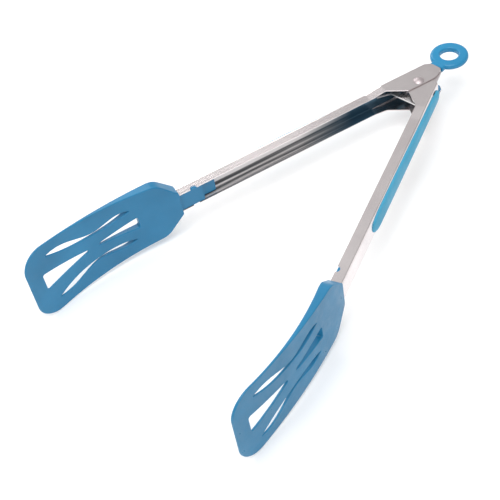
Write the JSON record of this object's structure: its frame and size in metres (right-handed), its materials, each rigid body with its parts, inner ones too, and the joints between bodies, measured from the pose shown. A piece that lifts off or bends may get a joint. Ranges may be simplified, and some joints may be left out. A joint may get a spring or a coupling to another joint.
{
  "type": "spring loaded kitchen tongs",
  "caption": "Kitchen tongs: folded steel channel arms with soft grips, slotted curved turner heads, a coil spring at the pivot and a pull ring that locks them shut.",
  "frame": {"origin": "middle of the bottom of the whole object, arms open, with the pivot axis upright", "axes": "+X along the centre line from the pull ring to the heads, +Y towards the inner arm, +Z along the pivot axis, up"},
  "size_m": [0.3116, 0.164, 0.0546],
  "materials": {
    "stainless": "satin",
    "plate_steel": "satin",
    "rivet_steel": "polished",
    "spring_steel": "satin",
    "blue_nylon": "satin",
    "blue_ring": "satin",
    "blue_grip": "matte",
    "bush_plastic": "satin"
  },
  "bodies": {
    "pivot": {"pivot_rivet": "rivet_steel", "rivet_washer": "rivet_steel", "spring_bush": "bush_plastic", "slide_bush": "bush_plastic", "torsion_spring": "spring_steel"},
    "inner_side": {"inner_arm": "stainless", "inner_arm_head": "blue_nylon", "inner_arm_grip": "blue_grip"},
    "outer_side": {"outer_arm": "stainless", "outer_arm_head": "blue_nylon", "outer_arm_grip": "blue_grip"},
    "lock": {"lock_plate": "plate_steel", "pull_ring": "blue_ring"}
  },
  "joints": [
    {"name": "inner_arm_hinge", "type": "hinge", "parent": "pivot", "child": "inner_side", "pos_m": [-0.11019, 0, 0.02728], "axis": [0, 0, 1], "range_deg": [-16.7, 0], "stiffness_Nm_per_rad": 1, "deforming": ["torsion_spring"]},
    {"name": "outer_arm_hinge", "type": "hinge", "parent": "pivot", "child": "outer_side", "pos_m": [-0.11019, 0, 0.02728], "axis": [0, 0, 1], "range_deg": [0, 16.7], "stiffness_Nm_per_rad": 1},
    {"name": "lock_pull", "type": "slide", "parent": "pivot", "child": "lock", "axis": [-1, 0, 0], "range_m": [0, 0.006]}
  ],
  "couplings": [
    {"joint": "outer_arm_hinge", "follows": "inner_arm_hinge", "ratio": -1}
  ]
}
